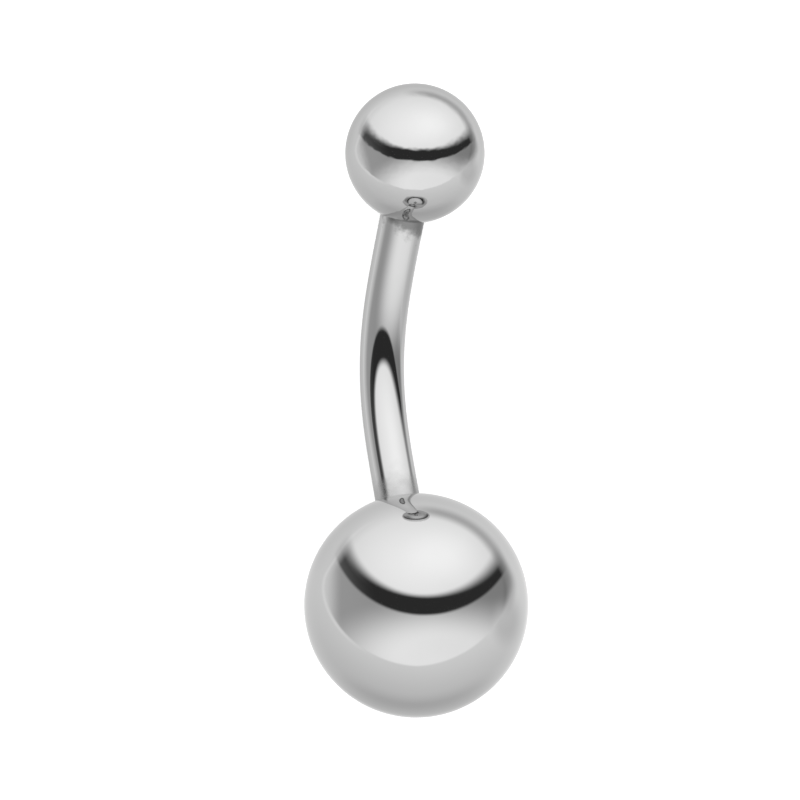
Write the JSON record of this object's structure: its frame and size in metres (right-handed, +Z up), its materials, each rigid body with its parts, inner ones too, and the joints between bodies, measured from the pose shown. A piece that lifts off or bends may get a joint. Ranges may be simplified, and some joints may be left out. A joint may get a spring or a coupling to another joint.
{
  "type": "navel ring",
  "caption": "Bowed steel bar with a small ball on its upper end and a large ball on its lower end, both screwed on, for a navel piercing.",
  "frame": {"origin": "on the surface that the jewel lies on, below the middle of its bounding box", "axes": "+Z up; +Y along the jewel from its large lower ball to its small top ball; the bow of the bar hangs down between them and leans towards -X"},
  "size_m": [0.008, 0.0226, 0.008],
  "materials": {
    "bar_steel": "mirror-polished surgical steel",
    "ball_steel": "mirror-polished surgical steel"
  },
  "bodies": {
    "bar": {"bar": "bar_steel"},
    "top_ball": {"top_ball": "ball_steel"},
    "lower_ball": {"lower_ball": "ball_steel"}
  },
  "joints": [
    {"name": "top_ball_unscrew", "type": "slide", "parent": "bar", "child": "top_ball", "axis": [0.1879, 0.9414, 0.2801], "range_m": [0, 0.0035]},
    {"name": "lower_ball_unscrew", "type": "slide", "parent": "bar", "child": "lower_ball", "axis": [0.1572, -0.9065, 0.3918], "range_m": [0, 0.0035]}
  ]
}
